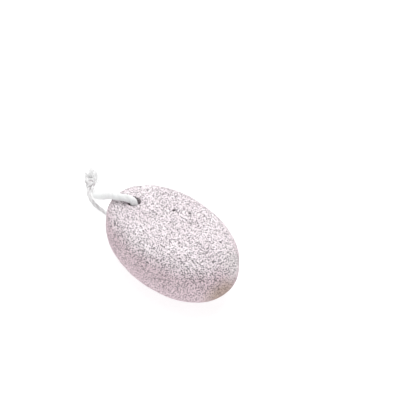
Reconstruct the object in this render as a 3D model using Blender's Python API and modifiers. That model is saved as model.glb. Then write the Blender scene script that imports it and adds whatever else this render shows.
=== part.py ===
"""An oval pumice stone with a hole near one end and a loop of soft white cord through it.

Metres, +Z up. The stone lies on its flatter underside, its length along X, the hole near -X.
The origin is at the bottom of the stone, under the middle of its length and width.
"""

import math
import random

import bmesh
import bpy
import numpy as np
from mathutils import Matrix, Vector, noise

MM = 0.001

# Stone, driving dimensions
STONE_HALF_LENGTH = 50.0 * MM
STONE_HALF_WIDTH = 31.0 * MM
UPPER_HEIGHT = 17.3 * MM
LOWER_HEIGHT = 23.4 * MM
OUTLINE_POWER = 2.12
UPPER_FLATNESS = 6.8
UPPER_SHOULDER = 2.16
LOWER_FLATNESS = 1.75
LOWER_SHOULDER = 3.0
FLAT_SHARE = 0.34
END_WIDENING = 0.014

# Stone, surface: HALVINGS and FURTHEST_REACH find it along a ray
HALVINGS = 40
FURTHEST_REACH = 1.6
GRID_CUTS = (26, 17, 10)
GRID_UNEVENNESS = 0.26
GRID_SEED = 3
SHARP_ANGLE = 35.0
WAVE_HEIGHT = 0.22 * MM
WAVE_LENGTH = 14.0 * MM
WAVE_FADE = 4.0 * MM
PIT_COUNT = 480
PIT_SPACING = 4.6 * MM
PIT_RIM_SHARE = (0.36, 0.66)
PIT_DEPTH = (0.6 * MM, 1.1 * MM)
PIT_SEED = 7
BASE_CLEAR = 7.0 * MM

# Hole, worn round at both mouths
HOLE_X = -29.3 * MM
HOLE_Y = -4.3 * MM
HOLE_RADIUS = 4.1 * MM
MOUTH_ROUNDING = 1.1 * MM
LOWER_MOUTH_ROUNDING = 3.4 * MM
HOLE_TOP_Z = 40.2 * MM
HOLE_BOTTOM_Z = 3.0 * MM
HOLE_CLEAR = 11.0 * MM
HOLE_STEPS = 28
MOUTH_STEPS = 5
CUTTER_REACH = 6.0 * MM
CUTTER_LIP = 1.0 * MM
MERGE_WITHIN = 0.00005

# Cord: x, y, z and radius in millimetres, from the knot over the stone, down the hole and back
CORD_THICKNESS = 2.7 * MM
CORD_ROUTE = (
    (-90.3, 10.5, 2.4, 1.3),
    (-87.2, 8.9, 2.7, 1.4),
    (-83.4, 7.2, 3.8, 1.65),
    (-79.2, 4.7, 6.6, 2.05),
    (-73.5, 1.4, 11.8, 2.3),
    (-65.5, -2.4, 19.3, 2.4),
    (-57.5, -5.8, 26.7, 2.4),
    (-50.4, -8.3, 33.4, 2.4),
    (-44.3, -9.9, 38.3, 2.4),
    (-39.4, -10.0, 41.0, 2.4),
    (-35.0, -9.1, 42.5, 2.4),
    (-30.3, -6.3, 42.1, 2.4),
    (-28.0, -4.7, 37.2, 2.35),
    (-27.9, -4.3, 31.0, 2.1),
    (-28.2, -4.2, 20.0, 1.6),
    (-28.3, -4.2, 10.0, 1.4),
    (-30.3, -3.9, 4.1, 1.35),
    (-34.5, -3.0, 1.6, 1.35),
    (-41.0, -1.7, 1.5, 1.35),
    (-52.0, 0.6, 1.5, 1.35),
    (-62.0, 2.0, 1.5, 1.35),
    (-69.2, 1.9, 1.5, 1.35),
    (-76.2, 1.8, 1.5, 1.35),
    (-83.0, 3.4, 1.4, 1.25),
    (-87.4, 5.5, 1.4, 1.2),
    (-90.6, 7.9, 2.0, 1.2),
)
POINT_SPACING = 3.6 * MM
END_POINT_SPACING = 2.0 * MM
CURVE_SAMPLES = 24

# Knot, with the turns of cord around it
KNOT_CENTRE = Vector((-94.0, 11.8, 3.0)) * MM
KNOT_RADII = Vector((3.5, 3.1, 2.3)) * MM
KNOT_TURN_RADIUS = 2.0 * MM
KNOT_TURN_SHAPE = (1.0, 1.12, 0.84)
KNOT_HEADING = 128.0
KNOT_TURNS = ((-0.8 * MM, 24.0), (0.9 * MM, -20.0))

# Frayed ends: x, y, z and radius in millimetres, from the knot outwards
THIN_END = (
    (-97.6, 13.3, 2.4, 1.0),
    (-100.4, 15.0, 2.1, 1.0),
    (-103.5, 16.7, 1.7, 1.1),
    (-106.2, 18.0, 1.4, 0.9),
)
FULL_END = (
    (-94.5, 16.4, 3.1, 1.25),
    (-96.5, 17.4, 3.2, 2.1),
    (-99.4, 19.3, 3.1, 2.4),
    (-102.8, 21.2, 2.8, 2.2),
    (-105.4, 22.6, 2.4, 1.7),
)

# Colours, linear
STONE_COLOUR = (0.74, 0.68, 0.69, 1.0)
PIT_COLOUR = (0.42, 0.37, 0.38, 1.0)
CORD_COLOUR = (0.86, 0.86, 0.84, 1.0)
STONE_ROUGHNESS = 0.95
CORD_ROUGHNESS = 0.9


def clear_scene():
    """Removes every object of the scene."""
    for found in list(bpy.data.objects):
        bpy.data.objects.remove(found, do_unlink=True)


def new_collection(name):
    """A collection linked to the scene."""
    collection = bpy.data.collections.new(name)
    bpy.context.scene.collection.children.link(collection)
    return collection


def new_object(name, data, collection, material=None):
    """An object that holds this data, in this collection."""
    made = bpy.data.objects.new(name, data)
    collection.objects.link(made)
    if material is not None:
        data.materials.append(material)
    return made


def plain_material(name, colour, roughness):
    """A Principled material of one colour."""
    material = bpy.data.materials.new(name)
    material.use_nodes = True
    shader = material.node_tree.nodes["Principled BSDF"]
    shader.inputs["Base Color"].default_value = colour
    shader.inputs["Roughness"].default_value = roughness
    shader.inputs["Metallic"].default_value = 0.0
    material.diffuse_color = colour
    return material


def stone_fill(points):
    """How full the stone's shape is at each point: below 1 inside, 1 on the surface, above 1 outside."""
    x, y, z = points.T
    width = STONE_HALF_WIDTH * (1 + END_WIDENING * x / STONE_HALF_LENGTH)
    along = np.abs(x / STONE_HALF_LENGTH) ** OUTLINE_POWER
    across = np.abs(y / width) ** OUTLINE_POWER
    rim = (along + across) ** (1 / OUTLINE_POWER)
    dome = np.maximum(rim - FLAT_SHARE, 0) / (1 - FLAT_SHARE)
    upper = rim**UPPER_FLATNESS + np.abs(z / UPPER_HEIGHT) ** UPPER_SHOULDER
    lower = dome**LOWER_FLATNESS + np.abs(z / LOWER_HEIGHT) ** LOWER_SHOULDER
    return np.where(z > 0, upper, lower)


def stone_surface(directions):
    """The point of the stone's surface along each direction from the middle of its ridge, by halving."""
    rays = directions * np.array([STONE_HALF_LENGTH, STONE_HALF_WIDTH, LOWER_HEIGHT])
    rays[:, 2] *= np.where(directions[:, 2] > 0, UPPER_HEIGHT / LOWER_HEIGHT, 1)
    inside = np.zeros(len(directions))
    outside = np.full(len(directions), FURTHEST_REACH)
    for _ in range(HALVINGS):
        middle = (inside + outside) / 2
        within = stone_fill(rays * middle[:, None]) < 1
        inside = np.where(within, middle, inside)
        outside = np.where(within, outside, middle)
    return rays * outside[:, None] + np.array([0, 0, LOWER_HEIGHT])


def parallel_edges(mesh, axis):
    """The edges of a box that run along one axis."""
    return [edge for edge in mesh.edges if edge.verts[0].co[axis] != edge.verts[1].co[axis]]


def add_waves(mesh):
    """Low waves all over, which fade out towards the flat of the underside."""
    mesh.normal_update()
    for vertex in mesh.verts:
        fade = min(vertex.co.z / WAVE_FADE, 1.0)
        wave = noise.noise(vertex.co / WAVE_LENGTH)
        vertex.co += vertex.normal * wave * WAVE_HEIGHT * fade


def takes_pit(place):
    """Whether a pit may lie here: off the hole's mouths and off the middle of the underside."""
    off_hole = math.hypot(place.x - HOLE_X, place.y - HOLE_Y) > HOLE_CLEAR
    off_base = place.length > BASE_CLEAR
    return off_hole and off_base


def pit_faces(mesh, chance):
    """Faces for the pits, taken in a random order and kept apart from one another."""
    faces = [face for face in mesh.faces if takes_pit(face.calc_center_median())]
    chance.shuffle(faces)
    chosen = []
    places = []
    for face in faces:
        place = face.calc_center_median()
        apart = all((place - other).length > PIT_SPACING for other in places)
        if apart and len(chosen) < PIT_COUNT:
            chosen.append(face)
            places.append(place)
    return chosen


def press_pits(mesh):
    """Presses the pits in: each is an inset face pushed below the surface."""
    chance = random.Random(PIT_SEED)
    for face in pit_faces(mesh, chance):
        half_width = 2 * face.calc_area() / face.calc_perimeter()
        rim = half_width * chance.uniform(*PIT_RIM_SHARE)
        depth = chance.uniform(*PIT_DEPTH)
        bmesh.ops.inset_individual(mesh, faces=[face], thickness=rim, depth=-depth)
        face.material_index = 1


def centre_on_origin(mesh):
    """Moves the stone so that its box stands centred on the origin."""
    for axis in (0, 1):
        places = [vertex.co[axis] for vertex in mesh.verts]
        middle = (min(places) + max(places)) / 2
        for vertex in mesh.verts:
            vertex.co[axis] -= middle


def build_stone(collection, stone, pit):
    """The stone: a cube cut into an uneven grid, drawn out to the oval slab, with its pits."""
    mesh = bmesh.new()
    bmesh.ops.create_cube(mesh, size=2.0)
    for axis, cuts in enumerate(GRID_CUTS):
        bmesh.ops.subdivide_edges(mesh, edges=parallel_edges(mesh, axis), cuts=cuts, use_grid_fill=True)
    directions = np.array([vertex.co[:] for vertex in mesh.verts])
    cells = 2 / (np.array(GRID_CUTS) + 1)
    shift = np.random.default_rng(GRID_SEED).uniform(-1, 1, directions.shape)
    surface = stone_surface(directions + shift * cells * GRID_UNEVENNESS)
    for vertex, place in zip(mesh.verts, surface):
        vertex.co = place
    add_waves(mesh)
    centre_on_origin(mesh)
    press_pits(mesh)
    data = bpy.data.meshes.new("pumice_stone")
    mesh.to_mesh(data)
    mesh.free()
    data.shade_smooth()
    data.set_sharp_from_angle(angle=math.radians(SHARP_ANGLE))
    made = new_object("pumice_stone", data, collection, stone)
    data.materials.append(pit)
    return made


def mouth_arc(edge_z, rounding, upwards):
    """Radius and height of points along a quarter circle, from the wall out to the mouth's edge."""
    side = 1 if upwards else -1
    points = []
    for step in range(1, MOUTH_STEPS + 1):
        turn = math.radians(90) * step / MOUTH_STEPS
        radius = HOLE_RADIUS + rounding * (1 - math.cos(turn))
        points.append((radius, edge_z - side * rounding * (1 - math.sin(turn))))
    return points


def hole_profile():
    """Half the cutter's outline, from its top on the axis down its outer side."""
    upper = mouth_arc(HOLE_TOP_Z, MOUTH_ROUNDING, True)[::-1]
    lower = mouth_arc(HOLE_BOTTOM_Z, LOWER_MOUTH_ROUNDING, False)
    wall_top = (HOLE_RADIUS, HOLE_TOP_Z - 2 * MOUTH_ROUNDING)
    wall_bottom = (HOLE_RADIUS, HOLE_BOTTOM_Z + 2 * LOWER_MOUTH_ROUNDING)
    past_top = HOLE_TOP_Z + CUTTER_REACH
    past_bottom = HOLE_BOTTOM_Z - CUTTER_REACH
    first = [(0.0, past_top), (upper[0][0] + CUTTER_LIP, past_top)]
    last = [(lower[-1][0] + CUTTER_LIP, past_bottom), (0.0, past_bottom)]
    return first + upper + [wall_top, wall_bottom] + lower + last


def build_hole_cutter(collection):
    """The hole's shape: a turned profile with a rounded mouth at each end."""
    profile = [(radius, 0.0, height) for radius, height in hole_profile()]
    data = bpy.data.meshes.new("hole_cutter")
    data.from_pydata(profile, [(i, i + 1) for i in range(len(profile) - 1)], [])
    cutter = new_object("hole_cutter", data, collection)
    cutter.location = (HOLE_X, HOLE_Y, 0.0)
    turn = cutter.modifiers.new("turn", "SCREW")
    turn.steps = HOLE_STEPS
    turn.render_steps = HOLE_STEPS
    turn.use_merge_vertices = True
    turn.merge_threshold = MERGE_WITHIN
    cutter.hide_render = True
    cutter.display_type = "WIRE"
    return cutter


def cut(target, cutter):
    """Cuts one object from another."""
    boolean = target.modifiers.new("cut_" + cutter.name, "BOOLEAN")
    boolean.operation = "DIFFERENCE"
    boolean.object = cutter
    boolean.solver = "EXACT"


def smooth_route(route, spacing):
    """Points of a smooth curve through a route, evenly spaced, each with its radius."""
    fixed = np.array(route) * MM
    ends = np.vstack([2 * fixed[0] - fixed[1], fixed, 2 * fixed[-1] - fixed[-2]])
    share = np.linspace(0, 1, CURVE_SAMPLES, endpoint=False)[:, None]
    pieces = []
    for before, first, second, after in zip(ends[:-3], ends[1:-2], ends[2:-1], ends[3:]):
        slope = (second - before) / 2
        bend = before - 2.5 * first + 2 * second - after / 2
        twist = (after - before) / 2 + 1.5 * (first - second)
        pieces.append(first + share * (slope + share * (bend + share * twist)))
    curve = np.vstack([*pieces, fixed[-1:]])
    steps = np.linalg.norm(np.diff(curve[:, :3], axis=0), axis=1)
    run = np.concatenate([[0], np.cumsum(steps)])
    places = np.linspace(0, run[-1], round(run[-1] / spacing) + 1)
    return np.stack([np.interp(places, run, column) for column in curve.T], -1)


def build_tube(name, route, spacing, collection, material):
    """A round tube along a route, as a curve with a bevel and filled caps."""
    points = smooth_route(route, spacing)
    data = bpy.data.curves.new(name, "CURVE")
    data.dimensions = "3D"
    data.bevel_depth = CORD_THICKNESS / 2
    data.bevel_resolution = 2
    data.use_fill_caps = True
    spline = data.splines.new("POLY")
    spline.points.add(len(points) - 1)
    for point, (x, y, z, radius) in zip(spline.points, points):
        point.co = (x, y, z, 1.0)
        point.radius = radius / (CORD_THICKNESS / 2)
    return new_object(name, data, collection, material)


def turned_ring(offset, tilt):
    """A torus around the knot, for one turn of the cord, leaning by a few degrees."""
    bpy.ops.mesh.primitive_torus_add(
        major_segments=14,
        minor_segments=6,
        major_radius=KNOT_TURN_RADIUS,
        minor_radius=CORD_THICKNESS / 2,
    )
    ring = bpy.context.object
    stand = Matrix.Rotation(math.radians(90 + tilt), 4, "Y")
    squash = Matrix.Diagonal((*KNOT_TURN_SHAPE, 1.0))
    ring.data.transform(Matrix.Translation((offset, 0, 0)) @ squash @ stand)
    return ring


def build_knot(collection, cutters, material):
    """The knot: a rounded core with two turns of cord around it, joined into one."""
    core = bmesh.new()
    bmesh.ops.create_uvsphere(core, u_segments=14, v_segments=8, radius=1.0)
    bmesh.ops.scale(core, vec=KNOT_RADII, verts=core.verts)
    data = bpy.data.meshes.new("cord_knot")
    core.to_mesh(data)
    core.free()
    placed = Matrix.Translation(KNOT_CENTRE) @ Matrix.Rotation(math.radians(KNOT_HEADING), 4, "Z")
    knot = new_object("cord_knot", data, collection, material)
    knot.matrix_world = placed
    for number, (offset, tilt) in enumerate(KNOT_TURNS):
        ring = turned_ring(offset, tilt)
        ring.name = f"knot_turn_{number}"
        ring.matrix_world = placed
        for home in list(ring.users_collection):
            home.objects.unlink(ring)
        cutters.objects.link(ring)
        ring.hide_render = True
        ring.display_type = "WIRE"
        join = knot.modifiers.new(ring.name, "BOOLEAN")
        join.operation = "UNION"
        join.object = ring
        join.solver = "EXACT"
    return knot


def main():
    clear_scene()
    parts = new_collection("pumice_stone_with_cord")
    cutters = new_collection("cutters")
    stone = plain_material("pumice", STONE_COLOUR, STONE_ROUGHNESS)
    pit = plain_material("pumice_pits", PIT_COLOUR, STONE_ROUGHNESS)
    cord = plain_material("cotton_cord", CORD_COLOUR, CORD_ROUGHNESS)
    body = build_stone(parts, stone, pit)
    cut(body, build_hole_cutter(cutters))
    build_tube("cord_loop", CORD_ROUTE, POINT_SPACING, parts, cord)
    build_knot(parts, cutters, cord)
    build_tube("cord_end_thin", THIN_END, END_POINT_SPACING, parts, cord)
    build_tube("cord_end_full", FULL_END, END_POINT_SPACING, parts, cord)


main()
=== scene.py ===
"""A pumice stone with a loop of soft cotton cord: the finished look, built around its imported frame.

Metres, +Z up. The stone lies on its flatter underside with its length along X and its hole near -X.
"""

import math

import bpy
import numpy as np
from bpy.props import FloatProperty, FloatVectorProperty, IntProperty, PointerProperty
from mathutils import Matrix, Vector


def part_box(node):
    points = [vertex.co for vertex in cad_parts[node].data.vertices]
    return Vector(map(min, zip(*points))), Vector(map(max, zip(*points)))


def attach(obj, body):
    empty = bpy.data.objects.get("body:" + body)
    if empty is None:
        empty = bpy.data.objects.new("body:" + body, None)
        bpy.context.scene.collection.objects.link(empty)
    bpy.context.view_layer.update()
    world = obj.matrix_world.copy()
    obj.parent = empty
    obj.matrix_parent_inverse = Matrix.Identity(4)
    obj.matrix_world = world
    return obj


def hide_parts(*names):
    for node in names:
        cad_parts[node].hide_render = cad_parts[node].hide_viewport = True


bl_info = {
    "name": "Pumice Stone with Cord",
    "version": (1, 0, 0),
    "blender": (4, 5, 0),
    "location": "View3D > Sidebar > Pumice",
    "description": "Builds a pumice stone, its cotton cord and a plain studio around the packed frame",
    "category": "Add Mesh",
}

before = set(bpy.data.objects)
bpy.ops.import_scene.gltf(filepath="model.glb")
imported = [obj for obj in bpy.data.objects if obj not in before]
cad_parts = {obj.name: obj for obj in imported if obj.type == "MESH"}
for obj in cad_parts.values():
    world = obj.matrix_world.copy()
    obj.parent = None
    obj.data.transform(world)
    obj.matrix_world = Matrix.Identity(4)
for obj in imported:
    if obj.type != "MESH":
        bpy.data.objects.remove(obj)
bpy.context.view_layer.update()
STONE_LOW, STONE_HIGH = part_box("pumice_stone")

MM = 0.001

# Camera: the photograph's viewing angle, and its frame in pixels
IMAGE_SIDE = 400
FOCAL_LENGTH_PX = 1709.08
SENSOR_WIDTH_MM = 36.0
CAMERA_REACH = 20.0
CAMERA_PLACE = Vector((574.7, -509.8, 754.4)) * MM
CAMERA_RIGHT = Vector((0.6786, 0.7345, 0.0030))
CAMERA_UP = Vector((-0.4948, 0.4541, 0.7409))

# Softbox: to the stone's left, behind it and above
SOFTBOX_PLACE = Vector((-0.325, 0.390, 1.196))
WHITE = (1.0, 1.0, 1.0, 1.0)

# Darker brownish patch and chalky patch on the stone's far end
DARK_END_PATCH_PLACE = Vector((49.5, -3.0, 16.0)) * MM
DARK_END_PATCH_RADIUS = 15.0 * MM
CHALK_PLACE = Vector((48.0, 11.0, 32.0)) * MM
CHALK_RADIUS = 14.0 * MM

# Pumice: heights at which the flanks' painted shade, rosier and darker, begins and is full, its duskier
# patches and its grain
FLANK_SHADE_HEIGHTS = (38.0 * MM, 30.0 * MM)
DUSK_SPACING = 14.0 * MM
DUSK_RANGE = (0.3, 0.8)
GRAIN_SPACING = 0.5 * MM
GRAIN_RELIEF = 0.2 * MM

# Fine pores, drawn in the material as painted shade and small dents: round ones, the froth between them, and
# the turn of both patterns.
# Real ones are smaller still, and are drawn as coarse as the picture needs
ROUND_PORE_SPACING = 1.15 * MM
ROUND_PORE_RADII = (0.25 * MM, 0.42 * MM)
ROUND_PORE_EDGE = (1.2, 0.8)
ROUND_PORE_SCATTER = 0.75
FROTH_SPACING = 0.58 * MM
FROTH_RANGE = (0.46, 0.28)
PORE_STRENGTH_HEIGHTS = (16.0 * MM, 32.0 * MM)
FLANK_PORE_STRENGTH = 0.75
PORE_TURN = (0.5, 0.9, 0.3)

# The hole's wall gets painted shade, darker from the first depth under the top to the second
BORE_PAINTED_SHADE = 0.7
BORE_SHADE_DEPTHS = (2.0 * MM, 7.0 * MM)

# Cotton: streaks once round the cord and along each flow length, and the length of cord for one UV unit
STREAK_SCALE = (60.0, 5.0, 1.0)
STREAK_RANGE = (0.55, 0.0)
STREAK_RELIEF = 0.12 * MM
STREAK_RELIEF_STRENGTH = 0.7
FLOW_LENGTH = 10.0 * MM

# Whole numbers that mix the coordinates of a lattice cell into a random number
CELL_FACTORS = (73856093, 19349663, 83492791)
SEED_FACTOR = 2654435761
MIX_FACTOR = 0x45D9F3B
MIX_MASK = 0xFFFFFFFF

# Stone: powers of its rounded outline and sides, as in its solid
OUTLINE_POWER = 2.12
UPPER_FLATNESS = 6.8
UPPER_SHOULDER = 2.16
LOWER_FLATNESS = 1.75
LOWER_SHOULDER = 3.0
FLAT_SHARE = 0.34
RIDGE_SHARE = 23.4 / 40.7

# Stone: its grid, the block of cells that the hole takes out of it, and the rings in that place
HALVINGS = 34
FURTHEST_REACH = 1.6
GRID_CELLS = (188, 116, 78)
HOLE_BLOCK_CELLS = (48, 38)
UPPER_SPREAD_RINGS = 11
LOWER_SPREAD_RINGS = 5
MOUTH_RINGS = 10
BORE_RINGS = 34

# Stone: low waves, which fade out towards the flat spot
WAVE_FADE_HEIGHT = 4.0 * MM
WAVE_SEED = 5
FINE_WAVE_SEED = 6
FINE_WAVE_RATIO = 3
FINE_WAVE_SHARE = 0.4

# Pores by size: spacing and radii in millimetres, the share of cells that hold one, and the seed
PORE_SIZES = (
    (2.60, (0.36, 0.54), 0.30, 12),
    (8.00, (0.55, 0.75), 0.20, 13),
)

# The largest pores: x, y, z and radius in millimetres
LARGE_PORES = (
    (-6.2, 8.0, 40.6, 0.95),
    (2.2, 13.3, 40.3, 0.80),
    (5.6, 7.7, 40.6, 0.70),
    (-26.4, -25.2, 37.2, 0.85),
)

# Pores: greatest depth as a share of the radius, reach of the largest, and depth at which their painted
# shade is full
PORE_DEPTH_LIMIT = 1.1
LARGE_PORE_DEPTH = 1.8
LARGE_PORE_REACH = 4.0 * MM
PORE_SHADE_DEPTH = 0.6 * MM

# Cord: x, y, z and radius in millimetres, from the knot over the stone, down the hole and back
CORD_ROUTE = (
    (-90.3, 10.5, 2.4, 1.3),
    (-87.2, 8.9, 2.7, 1.4),
    (-83.4, 7.2, 3.8, 1.65),
    (-79.2, 4.7, 6.6, 2.05),
    (-73.5, 1.4, 11.8, 2.3),
    (-65.5, -2.4, 19.3, 2.4),
    (-57.5, -5.8, 26.7, 2.4),
    (-50.4, -8.3, 33.4, 2.4),
    (-44.3, -9.9, 38.3, 2.4),
    (-39.4, -10.0, 41.0, 2.4),
    (-35.0, -9.1, 42.5, 2.4),
    (-30.3, -6.3, 42.1, 2.4),
    (-28.0, -4.7, 37.2, 2.35),
    (-27.9, -4.3, 31.0, 2.1),
    (-28.2, -4.2, 20.0, 1.6),
    (-28.3, -4.2, 10.0, 1.4),
    (-30.3, -3.9, 4.1, 1.35),
    (-34.5, -3.0, 1.6, 1.35),
    (-41.0, -1.7, 1.5, 1.35),
    (-52.0, 0.6, 1.5, 1.35),
    (-62.0, 2.0, 1.5, 1.35),
    (-69.2, 1.9, 1.5, 1.35),
    (-76.2, 1.8, 1.5, 1.35),
    (-83.0, 3.4, 1.4, 1.25),
    (-87.4, 5.5, 1.4, 1.2),
    (-90.6, 7.9, 2.0, 1.2),
)

# The two frayed ends and the loose thread: x, y, z and radius in millimetres
THIN_END = (
    (-97.6, 13.3, 2.4, 1.0),
    (-100.4, 15.0, 2.1, 1.0),
    (-103.5, 16.7, 1.7, 1.1),
    (-106.2, 18.0, 1.4, 0.9),
)
FULL_END = (
    (-94.5, 16.4, 3.1, 1.25),
    (-96.5, 17.4, 3.2, 2.1),
    (-99.4, 19.3, 3.1, 2.4),
    (-102.8, 21.2, 2.8, 2.2),
    (-105.4, 22.6, 2.4, 1.7),
)
LOOSE_THREAD = (
    (-93.9, 16.6, 2.0, 0.22),
    (-92.4, 17.4, 0.9, 0.22),
    (-94.2, 19.4, 0.6, 0.22),
    (-96.0, 21.6, 0.5, 0.22),
    (-96.2, 23.3, 0.5, 0.20),
    (-94.6, 23.8, 0.5, 0.20),
    (-92.2, 22.1, 0.4, 0.18),
    (-90.4, 20.0, 0.4, 0.15),
)

# Points that lead the cord's two stretches into the knot, and where both ends start in it
INTO_KNOT = (-92.8, 11.2, 2.6, 1.2)
OUT_OF_KNOT = (-92.6, 10.2, 2.5, 1.2)
KNOT_MIDDLE = (-94.0, 11.8, 2.6, 0.9)

# Knot
KNOT_CENTRE = Vector((-94.0, 11.8, 3.0)) * MM
KNOT_HEADING = 38.0
KNOT_SPREAD = (0.86, 0.88, 1.35)
KNOT_STRAND_RADIUS = 1.3 * MM
KNOT_STEPS = 150

# Twisted strands: radii at which one is tight or loose, its painted crease shade, the roundness of its
# plies, its unevenness, and the fineness of its mesh
TIGHT_RADIUS = 1.5 * MM
LOOSE_RADIUS = 2.3 * MM
LOOSE_CREASE = 0.15
CREASE_FLOOR = 0.2
PLY_ROUNDNESS = 0.7
UNEVEN_SPACING = 3.0 * MM
UNEVENNESS = 0.07
STRAND_COLUMNS = 36
THREAD_COLUMNS = 8
ROUTE_SUBSTEPS = 24
LOOP_SPACING = 0.35 * MM
CORE_SPACING = 0.3 * MM
THREAD_SPACING = 0.25 * MM

# Frayed ends: their locks, how far the fibres spread, where they stop, how they wave and how thick
# they are in loose tufts, and the radii of the yarn inside as shares of the end's
FRAYED_SPACING = 0.1 * MM
FRAYED_LOCKS = 14
FRAYED_STEPS = 9
THIN_END_FIBRES = 80
FULL_END_FIBRES = 260
GOLDEN_ANGLE = math.pi * (3 - math.sqrt(5))
LOCK_SPREAD = 0.22
LOCK_STOPS = (0.72, 0.94)
STOP_SCATTER = (-0.12, 0.06)
FRAYED_BEATS = (5, 11)
FRAYED_DRIFT = 0.3
FRAYED_SWELL = 0.25
FRAYED_THICKNESS = (1.8, 3.2)
CORE_TAPER = (0.9, 0.9, 0.9, 0.8, 0.6, 0.3)

# Fibres: three-sided tubes, thinner by a share at the tip
FIBRE_SIDES = 3
FIBRE_TAPER = 0.75
FIBRE_SLANT = 0.3

# Loose fibres on the loop: how they start, rise, scatter and bend, their lengths in millimetres, and
# how clear of the stone they keep
FUZZ_STEPS = 6
FUZZ_END_ROWS = 4
FUZZ_ROOT_DEPTH = 0.2 * MM
FUZZ_RISE = 0.5
FUZZ_SCATTER = 0.3
FUZZ_BEND = 0.35
FUZZ_LENGTHS = (0.8, 2.2)
FUZZ_FULLNESS = 1.07
FUZZ_MARGIN = 0.5 * MM

# Seeds of the cord's random draws
CORD_SEED = 41
LOOP_SEED = 21
CORE_SEED = 22
KNOT_SEED = 31


def linear(code):
    """A colour written as an sRGB hex value, as linear numbers and full cover."""
    parts = np.array([int(code[start : start + 2], 16) for start in (1, 3, 5)]) / 255
    values = np.where(parts <= 0.04045, parts / 12.92, ((parts + 0.055) / 1.055) ** 2.4)
    return (*values.tolist(), 1.0)


def number_property(name, description, default):
    """A plain number that a user may change."""
    return FloatProperty(name=name, description=description, default=default)


def size_property(name, description, default):
    """A length that a user may change."""
    return FloatProperty(name=name, description=description, default=default, unit="LENGTH", precision=5)


def colour_property(name, description, code):
    """A colour that a user may change."""
    return FloatVectorProperty(
        name=name, description=description, default=linear(code), subtype="COLOR", size=4
    )


class StoneSettings(bpy.types.PropertyGroup):
    """Sizes and colours of the stone."""

    half_length: size_property(
        "Half Length", "From the middle to either end", (STONE_HIGH.x - STONE_LOW.x) / 2
    )
    half_width: size_property(
        "Half Width", "From the middle to either side", (STONE_HIGH.y - STONE_LOW.y) / 2
    )
    height: size_property("Height", "From the underside to the top", 40.7 * MM)
    end_widening: number_property("End Widening", "How much wider the far end is", 0.014)
    wave_height: size_property("Wave Height", "Height of the low waves all over", 0.35 * MM)
    wave_length: size_property("Wave Length", "Distance between the low waves", 16.0 * MM)
    hole_x: size_property("Hole X", "Place of the hole along the stone", -29.3 * MM)
    hole_y: size_property("Hole Y", "Place of the hole across the stone", -4.3 * MM)
    hole_radius: size_property("Hole Radius", "Radius of the bored hole", 4.1 * MM)
    upper_rounding: size_property("Upper Rounding", "Wear at the hole's upper mouth", 1.1 * MM)
    lower_rounding: size_property("Lower Rounding", "Wear at the hole's lower mouth", 3.4 * MM)
    # The top's colour. The flanks' colour below it is painted shade, rosier and darker than the top
    rock: colour_property("Rock", "Colour of the worn top between its pores", "#fcf3f7")
    rock_flank_painted_shade: colour_property("Flank", "Colour of the sides between their pores", "#f3dfe6")
    dusk: colour_property("Dusk", "Tint of the duskier patches", "#ece8ea")
    # A darker brownish patch, low on the far end
    dark_end_patch: colour_property("Stain", "Colour of the stain on the far end", "#c6b0a7")
    chalk: colour_property("Chalk", "Colour of the chalky patch at the far end", "#f4ecee")
    # Painted shade: the dark colour inside the pores and down the hole, where shade falls
    hollow_painted_shade: colour_property("Pore", "Colour inside the pores", "#32272c")


class CordSettings(bpy.types.PropertyGroup):
    """Sizes and colours of the cord."""

    plies: IntProperty(name="Plies", description="Yarns twisted together", default=3, min=2)
    lay: size_property("Lay", "Length of one full turn of the plies", 15.0 * MM)
    groove: number_property("Groove", "Depth between plies as a share of the radius", 0.24)
    fibre: size_property("Fibre", "Thickness of a loose tuft of fibres", 0.09 * MM)
    fibre_count: IntProperty(name="Loose Fibres", description="Fibres that stand off the cord", default=900)
    cotton: colour_property("Cotton", "Colour of the cotton", "#ebecec")
    cotton_shade: colour_property("Cotton Shade", "Colour between the fibres", "#c6c9c9")
    # Painted shade between the yarns, fainter along loose stretches
    painted_crease_shade: colour_property("Crease", "Colour between the yarns", "#beb8ba")
    # Painted light: single fibres are painted paler than the cotton, standing in for light that passes
    # through them
    fibre_painted_light_colour: colour_property(
        "Fibre Colour", "Colour of single fibres, which let light through", "#fafafa"
    )


class StudioSettings(bpy.types.PropertyGroup):
    """The floor and the light."""

    floor: colour_property("Floor", "Colour of the floor", "#a0a0a0")
    floor_glow: number_property("Floor Glow", "Light from below through the floor", 0.76)
    floor_side: size_property("Floor Side", "Length of the floor's side", 6.0)
    sky: number_property("Sky", "Strength of the even light all round", 0.72)
    softbox_power: number_property("Softbox", "Power of the soft light above", 13.2)
    softbox_side: size_property("Softbox Side", "Length of the soft light's side", 1.2)


# Material helpers


def new_material(name):
    """A material with its shader, and the tree to fill."""
    material = bpy.data.materials.new(name)
    material.use_nodes = True
    tree = material.node_tree
    return material, tree, tree.nodes["Principled BSDF"]


def add_node(tree, kind, settings=None, inputs=None):
    """A node with its settings. An input is a value, or the output that feeds it."""
    node = tree.nodes.new(kind)
    for name, value in (settings or {}).items():
        setattr(node, name, value)
    for name, value in (inputs or {}).items():
        if isinstance(value, bpy.types.NodeSocket):
            tree.links.new(value, node.inputs[name])
        else:
            node.inputs[name].default_value = value
    return node


def ramp(tree, value, low, high, at_low=0.0, at_high=1.0):
    """A value turned to one number at low and to another at high, and held beyond them."""
    inputs = {"Value": value, "From Min": low, "From Max": high, "To Min": at_low, "To Max": at_high}
    return add_node(tree, "ShaderNodeMapRange", inputs=inputs).outputs["Result"]


def mix(tree, share, first, second, blend="MIX"):
    """The first colour where the share is 0, and the second or its blend with the first where it is 1."""
    settings = {"data_type": "RGBA", "blend_type": blend}
    inputs = {"Factor": share, "A": first, "B": second}
    return add_node(tree, "ShaderNodeMix", settings, inputs).outputs["Result"]


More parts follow.
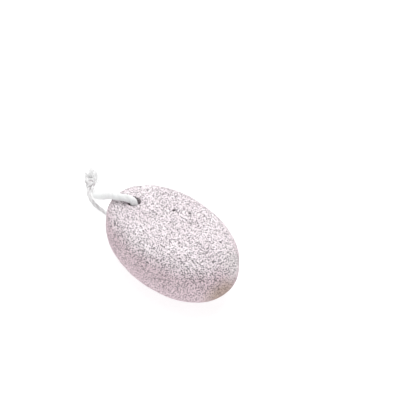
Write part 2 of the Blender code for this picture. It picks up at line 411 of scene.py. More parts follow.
def combine(tree, operation, first, second):
    """Two values put together by one operation."""
    inputs = {0: first, 1: second}
    return add_node(tree, "ShaderNodeMath", {"operation": operation}, inputs).outputs["Value"]


def noise(tree, place, spacing, detail):
    """Soft noise from 0 to 1, with its bumps about one spacing apart."""
    inputs = {"Vector": place, "Scale": 1 / spacing, "Detail": detail}
    return add_node(tree, "ShaderNodeTexNoise", inputs=inputs).outputs["Fac"]


def patch(tree, place, middle, radius):
    """1 within a third of the radius from the middle, fading to 0 at the radius."""
    away = add_node(tree, "ShaderNodeVectorMath", {"operation": "DISTANCE"}, {0: place, 1: middle})
    return ramp(tree, away.outputs["Value"], radius, radius / 3)


def dress(tree, shader, colour, height, relief, strength):
    """Gives a shader its colour, and a fine relief from a height."""
    tree.links.new(colour, shader.inputs["Base Color"])
    inputs = {"Height": height, "Distance": relief, "Strength": strength}
    bump = add_node(tree, "ShaderNodeBump", inputs=inputs)
    tree.links.new(bump.outputs["Normal"], shader.inputs["Normal"])


def fine_pores(tree, place):
    """1 inside small round pores scattered at a spacing, each with its own radius, and 0 between them."""
    inputs = {"Vector": place, "Scale": 1 / ROUND_PORE_SPACING, "Randomness": ROUND_PORE_SCATTER}
    scattered = add_node(tree, "ShaderNodeTexVoronoi", inputs=inputs)
    chance = add_node(tree, "ShaderNodeSeparateColor", inputs={"Color": scattered.outputs["Color"]})
    smallest, largest = ROUND_PORE_RADII
    in_cells = (smallest / ROUND_PORE_SPACING, largest / ROUND_PORE_SPACING)
    radius = ramp(tree, chance.outputs["Red"], 0.0, 1.0, *in_cells)
    share = combine(tree, "DIVIDE", scattered.outputs["Distance"], radius)
    return ramp(tree, share, *ROUND_PORE_EDGE)


def pumice_material(stone):
    """Pumice, ground and tumbled: a dull, pale, pinkish grey froth of glass, with painted shade inside its
    pores.
    """
    material, tree, shader = new_material("pumice")
    place = add_node(tree, "ShaderNodeTexCoord").outputs["Object"]
    height = add_node(tree, "ShaderNodeSeparateXYZ", inputs={"Vector": place}).outputs["Z"]
    # Painted shade: the flanks are painted rosier and darker than the top
    rock = mix(tree, ramp(tree, height, *FLANK_SHADE_HEIGHTS), stone.rock[:], stone.rock_flank_painted_shade[:])
    # Duskier patches
    dusk = ramp(tree, noise(tree, place, DUSK_SPACING, 3.0), *DUSK_RANGE)
    rock = mix(tree, 1.0, rock, mix(tree, dusk, WHITE, stone.dusk[:]), "MULTIPLY")
    # A darker brownish patch low on the far end, and a chalky patch higher up
    rock = mix(tree, patch(tree, place, DARK_END_PATCH_PLACE, DARK_END_PATCH_RADIUS), rock, stone.dark_end_patch[:])
    rock = mix(tree, patch(tree, place, CHALK_PLACE, CHALK_RADIUS), rock, stone.chalk[:])
    # Pores too small for the mesh, drawn as dark spots of painted shade and as dents: round ones, and a
    # froth of finer ones between them. Their place is turned, so that no flat of the stone lies along the
    # rows of either pattern
    inputs = {"Vector": place, "Rotation": PORE_TURN}
    turned = add_node(tree, "ShaderNodeMapping", inputs=inputs).outputs["Vector"]
    froth = ramp(tree, noise(tree, turned, FROTH_SPACING, 0.0), *FROTH_RANGE)
    small = combine(tree, "MAXIMUM", fine_pores(tree, turned), froth)
    # Their painted shade is fainter on the flanks than on top
    strength = ramp(tree, height, *PORE_STRENGTH_HEIGHTS, FLANK_PORE_STRENGTH, 1.0)
    small = combine(tree, "MULTIPLY", small, strength)
    # Painted shade: the rock turns to the dark hollow colour in the small pores, and by the mesh's pore and
    # bore shade
    depth = add_node(tree, "ShaderNodeAttribute", {"attribute_name": "hollow_painted_shade"}).outputs["Fac"]
    colour = mix(tree, combine(tree, "MAXIMUM", small, depth), rock, stone.hollow_painted_shade[:])
    grain = noise(tree, place, GRAIN_SPACING, 4.0)
    dress(tree, shader, colour, combine(tree, "SUBTRACT", grain, small), GRAIN_RELIEF, 1.0)
    shader.inputs["Roughness"].default_value = 0.95
    shader.inputs["Specular IOR Level"].default_value = 0.25
    return material


def cotton_material(name, cotton, cotton_shade, crease_shade_colour):
    """Soft-spun cotton, loosely twisted: dull yarn with a faint sheen from its loose fibres."""
    material, tree, shader = new_material(name)
    place = add_node(tree, "ShaderNodeTexCoord").outputs["UV"]
    # Streaks along the cord, drawn about 0.25 mm wide, since real fibres are far too fine to see
    inputs = {"Vector": place, "Scale": STREAK_SCALE}
    streaks = add_node(tree, "ShaderNodeMapping", inputs=inputs).outputs["Vector"]
    fibres = noise(tree, streaks, 1.0, 3.0)
    colour = mix(tree, ramp(tree, fibres, *STREAK_RANGE), cotton, cotton_shade)
    # Painted shade: darker between the plies, and a little darker all over where the strand is tight
    painted_crease_shade = add_node(tree, "ShaderNodeAttribute", {"attribute_name": "painted_crease_shade"}).outputs["Fac"]
    colour = mix(tree, painted_crease_shade, colour, crease_shade_colour)
    dress(tree, shader, colour, fibres, STREAK_RELIEF, STREAK_RELIEF_STRENGTH)
    shader.inputs["Roughness"].default_value = 0.9
    shader.inputs["Sheen Weight"].default_value = 0.3
    shader.inputs["Sheen Roughness"].default_value = 0.6
    return material


# Mesh helpers


def add_object(name, data):
    """An object at the origin, in the scene."""
    found = bpy.data.objects.new(name, data)
    bpy.context.scene.collection.objects.link(found)
    return found


def new_piece(name, points, faces, material, flow=None):
    """A smooth mesh at the origin that rides on the root body. flow is a UV pair for each face corner."""
    data = bpy.data.meshes.new(name)
    data.from_pydata(np.asarray(points).tolist(), [], faces)
    if flow is not None:
        data.uv_layers.new(name="flow").data.foreach_set("uv", np.asarray(flow, np.float32).ravel())
    data.shade_smooth()
    data.materials.append(material)
    piece = add_object(name, data)
    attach(piece, "root")
    return piece


def set_values(piece, name, values):
    """Sets one number for each point of a piece's mesh."""
    attribute = piece.data.attributes.new(name, "FLOAT", "POINT")
    attribute.data.foreach_set("value", np.asarray(values, np.float32).ravel())


def unit(vectors):
    """Each vector at length one."""
    return vectors / np.maximum(np.linalg.norm(vectors, axis=-1, keepdims=True), 1e-12)


def point_normals(points, quads):
    """The normal at each point: the sum of its quads' crossed diagonals."""
    corners = points[quads]
    across = np.cross(corners[:, 2] - corners[:, 0], corners[:, 3] - corners[:, 1])
    total = np.zeros_like(points)
    for corner in range(4):
        np.add.at(total, quads[:, corner], across)
    return unit(total)


def hashed(cells, seed, count):
    """Even random numbers for each cell of a lattice, mixed from its three whole coordinates."""
    mixed = np.bitwise_xor.reduce(cells.astype(np.int64) * np.array(CELL_FACTORS), axis=-1)
    mixed = (mixed + seed * SEED_FACTOR) & MIX_MASK
    numbers = []
    for _ in range(count):
        for _ in range(2):
            mixed = ((mixed ^ (mixed >> 16)) * MIX_FACTOR) & MIX_MASK
        mixed ^= mixed >> 16
        numbers.append(mixed / 2**32)
    return numbers


def smooth_noise(points, spacing, seed):
    """Noise from -1 to 1: random values on a lattice, blended by the smooth step 3t^2 - 2t^3."""
    scaled = points / spacing
    home = np.floor(scaled)
    share = scaled - home
    share = share * share * (3 - 2 * share)
    total = np.zeros(len(points))
    for corner in np.ndindex(2, 2, 2):
        weight = np.prod(np.where(corner, share, 1 - share), axis=1)
        total += weight * (2 * hashed(home + corner, seed, 1)[0] - 1)
    return total


def ladder_quads(ladder):
    """The quads between rows of point numbers, each row closed round."""
    beside = np.roll(ladder, -1, axis=1)
    return np.stack([ladder[:-1], beside[:-1], beside[1:], ladder[1:]], -1).reshape(-1, 4)


def ring_quads(rows, columns):
    """The quads between rings of points, closed round."""
    return ladder_quads(np.arange(rows * columns).reshape(rows, columns))


def tube_faces(rows, columns):
    """The faces of a tube of rings, with both ends capped."""
    first = list(range(columns))[::-1]
    last = list(range((rows - 1) * columns, rows * columns))
    return ring_quads(rows, columns).tolist() + [first, last]


def even_angles(columns):
    """Angles once round, evenly spaced."""
    return np.arange(columns) / columns * 2 * np.pi


def directions_round(side, up, columns):
    """Directions round each point of a path, from its two directions across, one for each column."""
    angle = even_angles(columns)[:, None]
    return np.cos(angle) * side[..., None, :] + np.sin(angle) * up[..., None, :]


# Stone


def stone_fill(points, stone):
    """How full the stone's shape is at points measured from the middle of its ridge: 1 on the surface.

    Upper half: rim^6.8 + (z / upper height)^2.16. Lower half: dome^1.75 + (z / lower height)^3,
    where rim runs from 0 in the middle to 1 on the outline and dome is 0 on the flat underside.
    """
    x, y, z = points.T
    rim = stone_rim(x, y, stone)
    upper = rim**UPPER_FLATNESS + np.abs(z / upper_height(stone)) ** UPPER_SHOULDER
    lower = stone_dome(rim) ** LOWER_FLATNESS + np.abs(z / lower_height(stone)) ** LOWER_SHOULDER
    return np.where(z > 0, upper, lower)


def stone_rim(x, y, stone):
    """0 in the middle of the stone's plan and 1 on its outline, an oval of power 2.12."""
    width = stone.half_width * (1 + stone.end_widening * x / stone.half_length)
    along = np.abs(x / stone.half_length) ** OUTLINE_POWER
    return (along + np.abs(y / width) ** OUTLINE_POWER) ** (1 / OUTLINE_POWER)


def stone_dome(rim):
    """0 on the flat underside, rising to 1 on the outline."""
    return np.maximum(rim - FLAT_SHARE, 0) / (1 - FLAT_SHARE)


def lower_height(stone):
    """From the underside to the widest level."""
    return stone.height * RIDGE_SHARE


def upper_height(stone):
    """From the widest level to the top."""
    return stone.height * (1 - RIDGE_SHARE)


def top_level(x, y, stone):
    """Height of the stone's top over a place."""
    rise = (1 - stone_rim(x, y, stone) ** UPPER_FLATNESS) ** (1 / UPPER_SHOULDER)
    return lower_height(stone) + upper_height(stone) * rise


def under_level(x, y, stone):
    """Height of the stone's underside over a place."""
    dome = stone_dome(stone_rim(x, y, stone))
    return lower_height(stone) * (1 - (1 - dome**LOWER_FLATNESS) ** (1 / LOWER_SHOULDER))


def stone_surface(directions, stone):
    """Where the ray from the middle of the ridge meets the surface, by halving."""
    rays = directions * np.array([stone.half_length, stone.half_width, lower_height(stone)])
    rays[:, 2] *= np.where(directions[:, 2] > 0, upper_height(stone) / lower_height(stone), 1)
    inside = np.zeros(len(rays))
    outside = np.full(len(rays), FURTHEST_REACH)
    for _ in range(HALVINGS):
        middle = (inside + outside) / 2
        within = stone_fill(rays * middle[:, None], stone) < 1
        inside = np.where(within, middle, inside)
        outside = np.where(within, outside, middle)
    return rays * outside[:, None] + [0, 0, lower_height(stone)]


def box_quads(cells):
    """The quads of a box cut into cells, each as four lattice corners that face outwards."""
    quads = []
    for axis in range(3):
        first, second = (axis + 1) % 3, (axis + 2) % 3
        along, across = np.meshgrid(np.arange(cells[first]), np.arange(cells[second]), indexing="ij")
        for far in (0, 1):
            steps = ((0, 0), (1, 0), (1, 1), (0, 1)) if far else ((0, 0), (0, 1), (1, 1), (1, 0))
            corners = np.zeros((along.size, 4, 3), int)
            for corner, (step, side_step) in enumerate(steps):
                corners[:, corner, axis] = far * cells[axis]
                corners[:, corner, first] = along.ravel() + step
                corners[:, corner, second] = across.ravel() + side_step
            quads.append(corners)
    return np.concatenate(quads)


def hole_block(side, stone):
    """The lowest lattice corner, in x and y, of the block that makes room for the hole.

    Side is 1 on the top and -1 on the underside. The surface draws the lattice together towards its
    rim, so the block is the one whose two borders lie equally far from the hole along each line.
    """
    hole = np.array([stone.hole_x, stone.hole_y])
    low = []
    for axis, block in enumerate(HOLE_BLOCK_CELLS):
        line = np.tile([*hole / (stone.half_length, stone.half_width), side], (GRID_CELLS[axis] + 1, 1))
        line[:, axis] = np.linspace(-1, 1, GRID_CELLS[axis] + 1)
        place = stone_surface(line, stone)[:, axis]
        low.append(np.abs(place[:-block] + place[block:] - 2 * hole[axis]).argmin())
    return np.array(low)


def block_border(low, level):
    """The lattice corners round the block at one level, anticlockwise from its lowest corner."""
    along, across = HOLE_BLOCK_CELLS
    out = np.arange(along)
    up = np.arange(across)
    x = np.concatenate([out, np.full(across, along), along - out, np.zeros(across)])
    y = np.concatenate([np.zeros(along), up, np.full(along, across), across - up])
    return np.stack([x + low[0], y + low[1], np.full(len(x), level)], -1).astype(int)


def hole_rings(top_border, under_border, stone):
    """Rings of points from the block's border over the worn mouth, down the bore and out below.

    Plan: border to circle in a straight blend. Mouth: a quarter circle. Bore: a straight wall.
    """
    centre = np.array([stone.hole_x, stone.hole_y])
    outward = unit(top_border[:, :2] - centre)
    rings = []
    halves = (
        (top_border, stone.upper_rounding, top_level, 1, UPPER_SPREAD_RINGS),
        (under_border, stone.lower_rounding, under_level, -1, LOWER_SPREAD_RINGS),
    )
    for border, rounding, level, side, spread_rings in halves:
        edge = centre + outward * (stone.hole_radius + rounding)
        half = []
        for share in np.linspace(0, 1, spread_rings + 1)[1:]:
            plan = border[:, :2] * (1 - share) + edge * share
            half.append(np.column_stack([plan, level(*plan.T, stone)]))
        edge_level = level(*edge.T, stone)
        for turn in np.linspace(math.pi / 2, 0, MOUTH_RINGS + 1)[1:]:
            plan = centre + outward * (stone.hole_radius + rounding * (1 - math.cos(turn)))
            half.append(np.column_stack([plan, edge_level - side * rounding * (1 - math.sin(turn))]))
        rings.append(half)
    upper, lower = rings
    shares = np.linspace(0, 1, BORE_RINGS + 1)[1:-1]
    bore = [upper[-1] * (1 - share) + lower[-1] * share for share in shares]
    return np.array(upper + bore + lower[::-1])


def stone_grid(stone):
    """Points and quads of the whole stone: the box's grid drawn out to its surface, and the hole's rings."""
    quads = box_quads(GRID_CELLS)
    top_low = hole_block(1, stone)
    under_low = hole_block(-1, stone)
    for low, level in ((top_low, GRID_CELLS[2]), (under_low, 0)):
        middle = quads.mean(axis=1)
        in_block = ((middle[:, :2] > low) & (middle[:, :2] < low + HOLE_BLOCK_CELLS)).all(axis=1)
        quads = quads[~(in_block & (middle[:, 2] == level))]
    # Every lattice corner gets one whole number, from its three coordinates
    key = np.array([1, GRID_CELLS[0] + 1, (GRID_CELLS[0] + 1) * (GRID_CELLS[1] + 1)])
    used, index = np.unique(quads @ key, return_inverse=True)
    index = index.reshape(-1, 4)
    lattice = np.stack([used % key[1], used // key[1] % (GRID_CELLS[1] + 1), used // key[2]], -1)
    points = stone_surface(lattice / np.array(GRID_CELLS) * 2 - 1, stone)
    top = np.searchsorted(used, block_border(top_low, GRID_CELLS[2]) @ key)
    under = np.searchsorted(used, block_border(under_low, 0) @ key)
    rings = hole_rings(points[top], points[under], stone)
    ring_index = np.arange(rings.shape[0] * rings.shape[1]).reshape(rings.shape[:2]) + len(points)
    hole = ladder_quads(np.vstack([top[None], ring_index, under[None]]))
    return np.vstack([points, rings.reshape(-1, 3)]), np.vstack([index, hole])


def pore_depth(points, normals, spacing, radii, share, seed):
    """How deep each point sinks into round pores, one in each taken cell of a lattice.

    A point inside a ball of radius R is pushed along its normal to the ball's far wall:
    t = d.n + sqrt((d.n)^2 + R^2 - d.d), with d from the ball's middle, and at most 1.1 R.
    """
    home = np.floor(points / spacing)
    deepest = np.zeros(len(points))
    for offset in np.ndindex(3, 3, 3):
        cells = home + offset - 1
        taken, x, y, z, size = hashed(cells, seed, 5)
        middle = (cells + np.stack([x, y, z], -1)) * spacing
        radius = radii[0] + (radii[1] - radii[0]) * size**2
        away = points - middle
        along = (away * normals).sum(axis=1)
        spare = radius**2 - (away**2).sum(axis=1)
        push = along + np.sqrt(np.maximum(along**2 + spare, 0))
        push = np.minimum(push, PORE_DEPTH_LIMIT * radius)
        deepest = np.maximum(deepest, np.where((spare > 0) & (taken < share), push, 0))
    return deepest


def large_pore_depth(points, normals):
    """How deep each point sinks into the largest pores.

    A point that is off a pore's axis by r, near the surface, sinks by 1.8 sqrt(R^2 - r^2).
    """
    deepest = np.zeros(len(points))
    for *place, radius in np.array(LARGE_PORES) * MM:
        away = points - place
        along = (away * normals).sum(axis=1)
        spare = radius**2 - (away**2).sum(axis=1) + along**2
        push = LARGE_PORE_DEPTH * np.sqrt(np.maximum(spare, 0))
        deepest = np.maximum(deepest, push * (np.abs(along) < LARGE_PORE_REACH))
    return deepest


def bore_shade(points, stone):
    """How dark the painted shade on the hole's wall is at each point: more with depth under the top, less
    off the bore.
    """
    off_axis = np.hypot(points[:, 0] - stone.hole_x, points[:, 1] - stone.hole_y)
    bored = np.clip(1 - (off_axis - stone.hole_radius) / stone.lower_rounding, 0, 1)
    return bored * np.interp(stone.height - points[:, 2], BORE_SHADE_DEPTHS, (0.0, BORE_PAINTED_SHADE))


def build_stone(stone):
    """The stone: its grid, low waves, scattered pores of two sizes, and the largest at their places."""
    points, quads = stone_grid(stone)
    normals = point_normals(points, quads)
    fade = np.clip(points[:, 2] / WAVE_FADE_HEIGHT, 0, 1)
    waves = smooth_noise(points, stone.wave_length, WAVE_SEED)
    fine_waves = smooth_noise(points, stone.wave_length / FINE_WAVE_RATIO, FINE_WAVE_SEED)
    waves = waves + FINE_WAVE_SHARE * fine_waves
    points = points + normals * (waves * fade * stone.wave_height)[:, None]
    depth = np.zeros(len(points))
    for spacing, radii, share, seed in PORE_SIZES:
        sizes = (radii[0] * MM, radii[1] * MM)
        depth = np.maximum(depth, pore_depth(points, normals, spacing * MM, sizes, share, seed))
    depth = np.maximum(depth, large_pore_depth(points, normals))
    points = points - normals * depth[:, None]
    piece = new_piece("pumice_stone_finished", points, quads.tolist(), pumice_material(stone))
    # Painted shade in the pores and down the hole's wall, kept on the mesh for the material
    shade = np.maximum(np.clip(depth / PORE_SHADE_DEPTH, 0, 1), bore_shade(points, stone))
    set_values(piece, "hollow_painted_shade", shade)
    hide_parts("pumice_stone")
    return piece


# Cord


def path_run(path):
    """How far along the path each of its points lies."""
    return np.concatenate([[0], np.cumsum(np.linalg.norm(np.diff(path, axis=0), axis=1))])


def smooth_route(route, spacing):
    """A smooth curve through a route, evenly spaced, with its radius, in metres.

    Each stretch is a cubic whose slope at a route point is half the step between its neighbours.
    """
    fixed = np.array(route) * MM
    ends = np.vstack([2 * fixed[0] - fixed[1], fixed, 2 * fixed[-1] - fixed[-2]])
    share = np.linspace(0, 1, ROUTE_SUBSTEPS, endpoint=False)[:, None]
    pieces = []
    for before, first, second, after in zip(ends[:-3], ends[1:-2], ends[2:-1], ends[3:]):
        slope = (second - before) / 2
        bend = before - 2.5 * first + 2 * second - after / 2
        twist = (after - before) / 2 + 1.5 * (first - second)
        pieces.append(first + share * (slope + share * (bend + share * twist)))
    curve = np.vstack([*pieces, fixed[-1:]])
    run = path_run(curve[:, :3])
    places = np.linspace(0, run[-1], round(run[-1] / spacing) + 1)
    even = np.stack([np.interp(places, run, column) for column in curve.T], -1)
    return even[:, :3], even[:, 3], places


def path_frames(path):
    """Two directions across the path at each of its points, carried along it without twist."""
    ahead = unit(np.gradient(path, axis=0))
    side = unit(np.cross(ahead[0], [0.0, 0.0, 1.0]))
    sides = []
    for direction in ahead:
        side = unit(side - direction * (side @ direction))
        sides.append(side)
    sides = np.array(sides)
    return ahead, sides, np.cross(ahead, sides)


def ring_flow(rows, columns, run):
    """UV for ring_quads: once round in u, and the run along the cord over the flow length in v."""
    u = np.arange(columns + 1) / columns
    v = run / FLOW_LENGTH
    left, right = np.meshgrid(np.arange(rows - 1), np.arange(columns), indexing="ij")
    corners = [(left, right), (left, right + 1), (left + 1, right + 1), (left + 1, right)]
    return np.stack([np.stack([u[column], v[row]], -1) for row, column in corners], 2).reshape(-1, 2)


def strand(path, radii, run, cord, seed):
    """Rings of points of a loosely twisted strand, and their painted crease shade.

    At angle a and run s the radius is R (1 - g + g |sin(n (a - 2 pi s / lay) / 2)|^0.7), for n plies
    and groove g, so that round plies wind along it. Each point's painted crease shade is CREASE_FLOOR on a
    ply and 1 between two, less where the strand is thick and loose.
    """
    _, side, up = path_frames(path)
    turn = even_angles(STRAND_COLUMNS)[None] - 2 * np.pi * run[:, None] / cord.lay
    crown = np.abs(np.sin(cord.plies * turn / 2)) ** PLY_ROUNDNESS
    radius = radii[:, None] * (1 - cord.groove + cord.groove * crown)
    around = directions_round(side, up, STRAND_COLUMNS)
    points = (path[:, None] + radius[..., None] * around).reshape(-1, 3)
    uneven = smooth_noise(points, UNEVEN_SPACING, seed).reshape(radius.shape)
    tight = np.interp(radii, (TIGHT_RADIUS, LOOSE_RADIUS), (1.0, LOOSE_CREASE))
    painted_crease_shade = (CREASE_FLOOR + (1 - CREASE_FLOOR) * (1 - crown)) * tight[:, None]
    return path[:, None] + (radius * (1 + UNEVENNESS * uneven))[..., None] * around, painted_crease_shade


def strand_piece(name, path, radii, run, cord, material, seed):
    """A twisted strand as a piece, with both ends capped."""
    rings, painted_crease_shade = strand(path, radii, run, cord, seed)
    rows, columns = rings.shape[:2]
    flow = np.vstack([ring_flow(rows, columns, run), np.zeros((2 * columns, 2))])
    piece = new_piece(name, rings.reshape(-1, 3), tube_faces(rows, columns), material, flow)
    set_values(piece, "painted_crease_shade", painted_crease_shade)
    return piece


def fibre_mesh(lines, thickness):
    """Thin three-sided tubes along rows of points, tapered to a quarter at their tips."""
    count, steps, _ = lines.shape
    chord = lines[:, -1] - lines[:, 0]
    # A direction that doesn't lie along the fibre
    slant = FIBRE_SLANT * np.linalg.norm(chord, axis=1, keepdims=True)
    across = unit(chord[:, [1, 2, 0]] + slant)[:, None]
    ahead = unit(np.gradient(lines, axis=1))
    side = unit(np.cross(ahead, across))
    up = np.cross(ahead, side)
    taper = 1 - FIBRE_TAPER * np.linspace(0, 1, steps)[:, None, None]
    width = thickness[:, None, None, None] / 2 * taper
    points = lines[:, :, None] + width * directions_round(side, up, FIBRE_SIDES)
    first = np.arange(count)[:, None, None] * steps * FIBRE_SIDES
    sides = (ring_quads(steps, FIBRE_SIDES)[None] + first).reshape(-1, 4).tolist()
    ring = np.arange(FIBRE_SIDES)
    caps = np.stack([ring[::-1], ring + (steps - 1) * FIBRE_SIDES])
    ends = (caps[None] + first).reshape(-1, FIBRE_SIDES).tolist()
    return points.reshape(-1, 3), sides + ends


def closed_strand(name, route, cord, material, spacing, seed):
    """A twisted strand along a route, and its path."""
    path, radii, run = smooth_route(route, spacing)
    return strand_piece(name, path, radii, run, cord, material, seed), path


def clear_of_stone(lines, stone):
    """Which lines keep outside the stone and its low waves all the way, or inside its bore."""
    points = lines.reshape(-1, 3)
    near = stone_fill(points - [0, 0, lower_height(stone)], stone) < FUZZ_FULLNESS
    off_axis = np.hypot(points[:, 0] - stone.hole_x, points[:, 1] - stone.hole_y)
    buried = near & (off_axis > stone.hole_radius - FUZZ_MARGIN)
    return ~buried.reshape(lines.shape[:2]).any(axis=1)


def build_fuzz(cord, stone, material, rng):
    """Loose fibres that stand a little off the loop: root + heading s + bend s^2, s from 0 to the length.

    Those that would enter the stone are left out.
    """
    path, radii, run = smooth_route(CORD_ROUTE, LOOP_SPACING)
    rings, _ = strand(path, radii, run, cord, LOOP_SEED)
    ahead = path_frames(path)[0]
    count = cord.fibre_count
    row = rng.integers(FUZZ_END_ROWS, len(path) - FUZZ_END_ROWS, count)
    column = rng.integers(0, rings.shape[1], count)
    outward = unit(rings[row, column] - path[row])
    roots = rings[row, column] - outward * FUZZ_ROOT_DEPTH
    lean = ahead[row] * rng.choice([-1, 1], (count, 1))
    headings = unit(outward * FUZZ_RISE + lean + rng.normal(0, FUZZ_SCATTER, (count, 3)))
    bends = rng.normal(0, FUZZ_BEND, (count, 3))
    lengths = rng.uniform(*FUZZ_LENGTHS, (count, 1, 1)) * MM
    share = np.linspace(0, 1, FUZZ_STEPS)[:, None]
    lines = roots[:, None] + (headings[:, None] * share + bends[:, None] * share**2) * lengths
    lines[..., 2] = np.maximum(lines[..., 2], cord.fibre)
    lines = lines[clear_of_stone(lines, stone)]
    points, faces = fibre_mesh(lines, np.full(len(lines), cord.fibre))
    return new_piece("cord_loose_fibres", points, faces, material)


def knot_path():
    """The middle line of the knot's strand: a trefoil, the closed form of an overhand knot, lying flat.

    At turn t it is (sin t + 2 sin 2t, cos t - 2 cos 2t, -sin 3t), each scaled to the knot's size.
    """
    turns = np.linspace(0, 2 * np.pi, KNOT_STEPS)
    x = np.sin(turns) + 2 * np.sin(2 * turns)
    y = np.cos(turns) - 2 * np.cos(2 * turns)
    path = np.stack([x, y, -np.sin(3 * turns)], -1) * np.array(KNOT_SPREAD) * MM
    heading = np.array(Matrix.Rotation(math.radians(KNOT_HEADING), 3, "Z"))
    return path @ heading.T + np.array(KNOT_CENTRE)


def build_knot(cord, material):
    """The knot: one strand drawn tight in an overhand knot."""
    path = knot_path()
    radii = np.full(len(path), KNOT_STRAND_RADIUS)
    return strand_piece("cord_knot_tied", path, radii, path_run(path), cord, material, KNOT_SEED)


def build_frayed_end(name, route, cord, material, count, rng):
    """A frayed end: loosened yarns that follow the end's middle line, each a lock of wavy fibres.

    A fibre lies at its own angle and share of the radius round the line, drifts by slow waves and
    stops at its own place near the tip.
    """
    path, radii, _ = smooth_route((KNOT_MIDDLE, *route), FRAYED_SPACING)
    _, side, up = path_frames(path)
    lock = rng.integers(0, FRAYED_LOCKS, count)
    lock_angle = lock * GOLDEN_ANGLE
    lock_reach = np.sqrt((np.arange(FRAYED_LOCKS) + 0.5) / FRAYED_LOCKS)[lock]
    out = lock_reach * np.cos(lock_angle) + rng.normal(0, LOCK_SPREAD, count)
    over = lock_reach * np.sin(lock_angle) + rng.normal(0, LOCK_SPREAD, count)
    stop = rng.uniform(*LOCK_STOPS, FRAYED_LOCKS)[lock] + rng.uniform(*STOP_SCATTER, count)
    share = stop[:, None] * np.linspace(0, 1, FRAYED_STEPS)
    row = np.round(share * (len(path) - 1)).astype(int)
    phase = rng.uniform(0, 2 * np.pi, (2, count, 1))
    beat = rng.uniform(*FRAYED_BEATS, (2, count, 1))
    drift = FRAYED_DRIFT * share * np.sin(beat * share + phase)
    swell = radii[row] * (1 + FRAYED_SWELL * share)
    out = swell * (out[:, None] + drift[0])
    over = swell * (over[:, None] + drift[1])
    lines = path[row] + out[..., None] * side[row] + over[..., None] * up[row]
    lines[..., 2] = np.maximum(lines[..., 2], cord.fibre)
    points, faces = fibre_mesh(lines, rng.uniform(*FRAYED_THICKNESS, count) * cord.fibre)
    return new_piece(name, points, faces, material)


def build_core(name, route, cord, material):
    """The yarn still held together inside a frayed end: it thins out towards the tip."""
    inner = np.array((KNOT_MIDDLE, *route))
    inner[:, 3] *= CORE_TAPER[-len(inner) :]
    return closed_strand(name, inner, cord, material, CORE_SPACING, CORE_SEED)[0]


def build_thread(material):
    """One loose thread that curls off the fuller end onto the floor."""
    path, radii, _ = smooth_route(LOOSE_THREAD, THREAD_SPACING)
    _, side, up = path_frames(path)
    points = path[:, None] + radii[:, None, None] * directions_round(side, up, THREAD_COLUMNS)
    faces = tube_faces(len(path), THREAD_COLUMNS)
    return new_piece("cord_loose_thread", points.reshape(-1, 3), faces, material)


def build_cord(cord, stone):
    """The cord's loop, its knot, its two frayed ends and the fibres that stand off it."""
    material = cotton_material("cotton_cord", cord.cotton[:], cord.cotton_shade[:], cord.painted_crease_shade[:])
    # Painted light: the fibres, loose fibres and full end's core get a paler copy of the cotton, standing in
    # for light passing through them
    fibre = cotton_material("cotton_fibre_painted_light", cord.fibre_painted_light_colour[:], cord.cotton[:], cord.painted_crease_shade[:])
    rng = np.random.default_rng(CORD_SEED)
    route = (INTO_KNOT, *CORD_ROUTE, OUT_OF_KNOT)
    loop, path = closed_strand("cord_loop_twisted", route, cord, material, LOOP_SPACING, LOOP_SEED)
    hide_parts("cord_loop")
    knot = build_knot(cord, material)
    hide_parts("cord_knot")
    thin = build_frayed_end("cord_end_thin_frayed", THIN_END, cord, fibre, THIN_END_FIBRES, rng)
    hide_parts("cord_end_thin")
    full = build_frayed_end("cord_end_full_frayed", FULL_END, cord, fibre, FULL_END_FIBRES, rng)
    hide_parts("cord_end_full")
    cores = [
        build_core("cord_end_thin_core", THIN_END, cord, material),
        build_core("cord_end_full_core", FULL_END, cord, fibre),
    ]
    fuzz = build_fuzz(cord, stone, fibre, rng)
    pieces = [loop, knot, thin, full, *cores, fuzz, build_thread(material)]


# Studio


def build_camera():
    """The camera, at the photograph's viewing angle."""
    data = bpy.data.cameras.new("camera")
    data.sensor_width = SENSOR_WIDTH_MM
    data.lens = FOCAL_LENGTH_PX / IMAGE_SIDE * SENSOR_WIDTH_MM
    data.clip_end = CAMERA_REACH
    camera = add_object("camera", data)
    back = CAMERA_RIGHT.cross(CAMERA_UP)
    turn = Matrix((CAMERA_RIGHT, CAMERA_UP, back)).transposed().to_4x4()
    camera.matrix_world = Matrix.Translation(CAMERA_PLACE) @ turn
    bpy.context.scene.camera = camera


def build_floor(studio):
    """A plain pale floor: an acrylic sheet lit from below, as on a light table, so shadows are faint."""
    material, _, shader = new_material("opal_acrylic")
    shader.inputs["Base Color"].default_value = studio.floor[:]
    shader.inputs["Roughness"].default_value = 0.9
    shader.inputs["Emission Color"].default_value = WHITE
    shader.inputs["Emission Strength"].default_value = studio.floor_glow
    half = studio.floor_side / 2
    corners = [(-half, -half, 0), (half, -half, 0), (half, half, 0), (-half, half, 0)]
    data = bpy.data.meshes.new("floor")
    data.from_pydata(corners, [], [(0, 1, 2, 3)])
    data.materials.append(material)
    add_object("floor", data)


def build_light(studio):
    """Even light all round and a large softbox above, behind the stone and to its left."""
    world = bpy.data.worlds.new("studio")
    world.use_nodes = True
    sky = world.node_tree.nodes["Background"]
    sky.inputs["Color"].default_value = WHITE
    sky.inputs["Strength"].default_value = studio.sky
    bpy.context.scene.world = world
    data = bpy.data.lights.new("softbox", "AREA")
    data.size = studio.softbox_side
    data.energy = studio.softbox_power
    softbox = add_object("softbox", data)
    softbox.location = SOFTBOX_PLACE
    softbox.rotation_mode = "QUATERNION"
    softbox.rotation_quaternion = softbox.location.to_track_quat("Z", "Y")
    bpy.context.scene.view_settings.view_transform = "Standard"


# Operators and panel


class PUMICE_OT_camera(bpy.types.Operator):
    """Place the camera at the photograph's viewing angle"""

    bl_idname = "pumice.camera"
    bl_label = "Place Camera"

    def execute(self, context):
        build_camera()
        return {"FINISHED"}


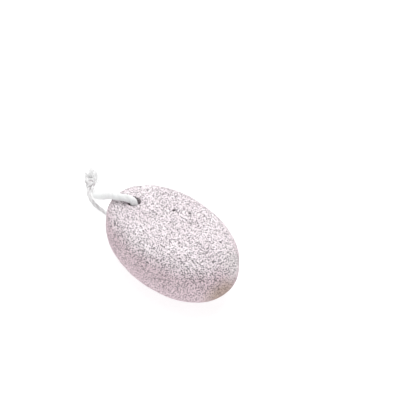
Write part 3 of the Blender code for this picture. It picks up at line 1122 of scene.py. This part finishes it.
class PUMICE_OT_cord(bpy.types.Operator):
    """Build the cord's loop, knot and frayed ends"""

    bl_idname = "pumice.cord"
    bl_label = "Build Cord"

    def execute(self, context):
        build_cord(context.scene.pumice_cord, context.scene.pumice_stone)
        return {"FINISHED"}


class PUMICE_OT_stone(bpy.types.Operator):
    """Build the stone with its hole and pores"""

    bl_idname = "pumice.stone"
    bl_label = "Build Stone"

    def execute(self, context):
        build_stone(context.scene.pumice_stone)
        return {"FINISHED"}


class PUMICE_OT_studio(bpy.types.Operator):
    """Build the floor and the soft light"""

    bl_idname = "pumice.studio"
    bl_label = "Build Studio"

    def execute(self, context):
        build_floor(context.scene.pumice_studio)
        build_light(context.scene.pumice_studio)
        return {"FINISHED"}


class PUMICE_PT_panel(bpy.types.Panel):
    """Lists the steps and their settings"""

    bl_idname = "PUMICE_PT_panel"
    bl_label = "Pumice Stone"
    bl_space_type = "VIEW_3D"
    bl_region_type = "UI"
    bl_category = "Pumice"

    def draw(self, context):
        for operator, group in STEPS:
            column = self.layout.column(align=True)
            column.operator(operator)
            if group:
                settings = getattr(context.scene, group)
                for name in settings.__annotations__:
                    column.prop(settings, name)


STEPS = (
    ("pumice.camera", None),
    ("pumice.cord", "pumice_cord"),
    ("pumice.stone", "pumice_stone"),
    ("pumice.studio", "pumice_studio"),
)
GROUPS = {"pumice_stone": StoneSettings, "pumice_cord": CordSettings, "pumice_studio": StudioSettings}
CLASSES = (
    *GROUPS.values(),
    PUMICE_OT_camera,
    PUMICE_OT_cord,
    PUMICE_OT_stone,
    PUMICE_OT_studio,
    PUMICE_PT_panel,
)


def register():
    for found in CLASSES:
        bpy.utils.register_class(found)
    for name, group in GROUPS.items():
        setattr(bpy.types.Scene, name, PointerProperty(type=group))


def unregister():
    for name in GROUPS:
        delattr(bpy.types.Scene, name)
    for found in reversed(CLASSES):
        bpy.utils.unregister_class(found)


def main():
    register()
    bpy.ops.pumice.camera()
    bpy.ops.pumice.cord()
    bpy.ops.pumice.stone()
    bpy.ops.pumice.studio()


if __name__ == "__main__":
    main()
